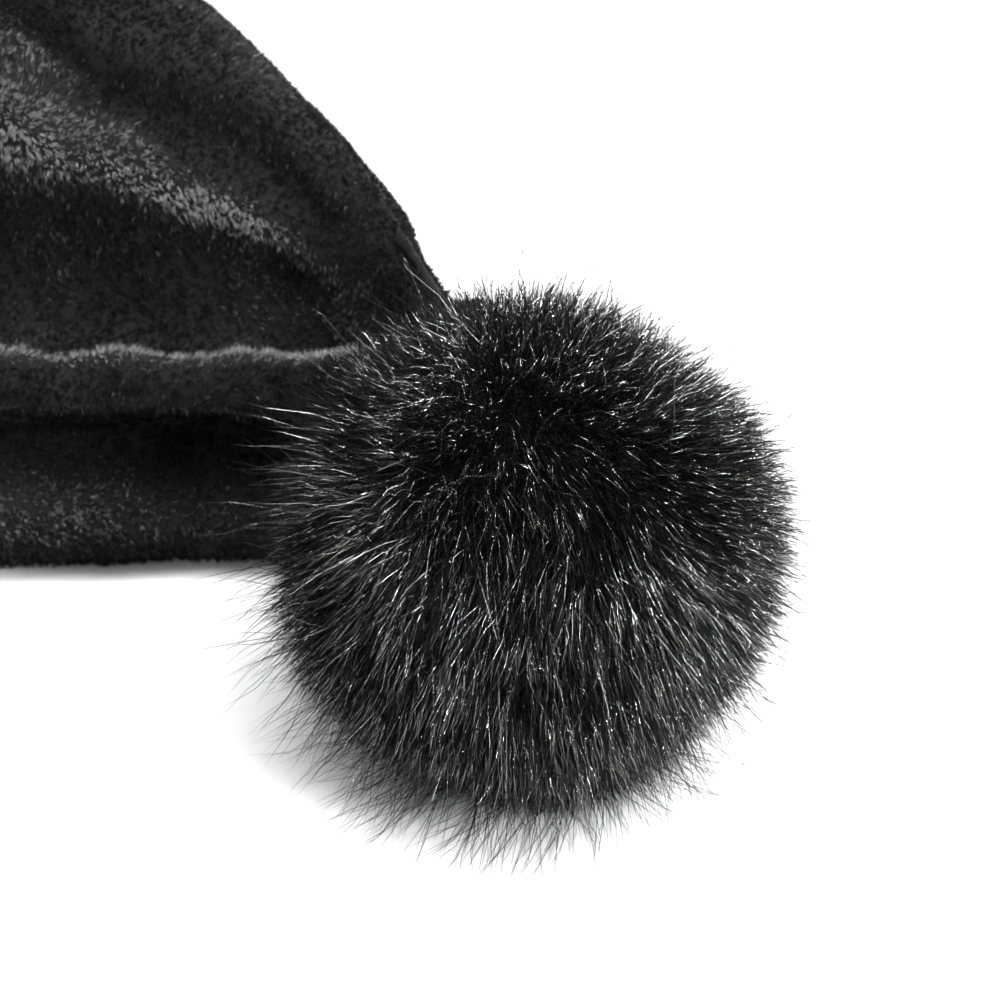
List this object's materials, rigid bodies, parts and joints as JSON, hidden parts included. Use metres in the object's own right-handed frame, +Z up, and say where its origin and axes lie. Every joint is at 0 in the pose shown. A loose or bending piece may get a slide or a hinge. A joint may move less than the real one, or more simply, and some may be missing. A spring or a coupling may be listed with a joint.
{
  "type": "plush party hat",
  "caption": "Soft peaked party hat lying on its side: plush shell with lining, fur cuff, sweatband, and a fur pompom tied to its gathered tip.",
  "frame": {"origin": "on the flattened underside of the cuff, midway across its width, below the centre of the mouth", "axes": "+X from the mouth towards the tip along the lying hat, -Y the front side, +Z up from the resting plane"},
  "size_m": [0.4385, 0.232, 0.23],
  "materials": {
    "black_plush": "short dense pile plush, soft sheen",
    "black_fur": "long-haired faux fur, glossy fibres",
    "satin_lining": "thin satin",
    "white_wadding": "matte fibre wadding",
    "thread": "waxed polyester thread",
    "sweatband_cloth": "matte twill",
    "label_satin": "satin ribbon, blank",
    "fur_backing": "matte knitted backing",
    "elastic": "matte woven elastic"
  },
  "bodies": {
    "crown": {"crown_front_panel": "black_plush", "crown_back_panel": "black_plush", "crown_side_seams": "thread", "crown_lining_front": "satin_lining", "crown_lining_back": "satin_lining", "cuff_cover": "black_fur", "cuff_wadding": "white_wadding", "cuff_back_seam": "thread", "cuff_slip_stitches": "thread", "sweatband": "sweatband_cloth", "sweatband_elastic": "elastic", "label_tack_stitches": "thread"},
    "label": {"care_label": "label_satin"},
    "peak": {"peak_front_panel": "black_plush", "peak_back_panel": "black_plush", "peak_side_seams": "thread", "peak_lining_front": "satin_lining", "peak_lining_back": "satin_lining", "gathered_tip": "black_plush", "tip_gather_thread": "thread", "tip_loop": "thread"},
    "tie": {"tie_link": "thread"},
    "pompom": {"pompom_loop": "thread", "pompom_gather_thread": "thread", "pompom_pouch": "fur_backing", "pompom_filling": "white_wadding", "pompom_fur": "black_fur"}
  },
  "joints": [
    {"name": "peak_fold", "type": "hinge", "parent": "crown", "child": "peak", "pos_m": [0.179, 0, 0.138], "axis": [0, -1, 0], "range_deg": [0, 110]},
    {"name": "pompom_lift", "type": "hinge", "parent": "peak", "child": "tie", "pos_m": [0.34719, -0.01268, 0.04712], "axis": [-0.9255, -0.3786, 0], "range_deg": [-8, 24]},
    {"name": "pompom_swing", "type": "hinge", "parent": "tie", "child": "pompom", "pos_m": [0.3493, -0.01784, 0.04594], "axis": [0.0779, -0.1905, 0.9786], "range_deg": [-12, 30]},
    {"name": "label_flip", "type": "hinge", "parent": "crown", "child": "label", "pos_m": [0.001, 0.0929, 0.114], "axis": [0, 0, -1], "range_deg": [0, 150]}
  ]
}
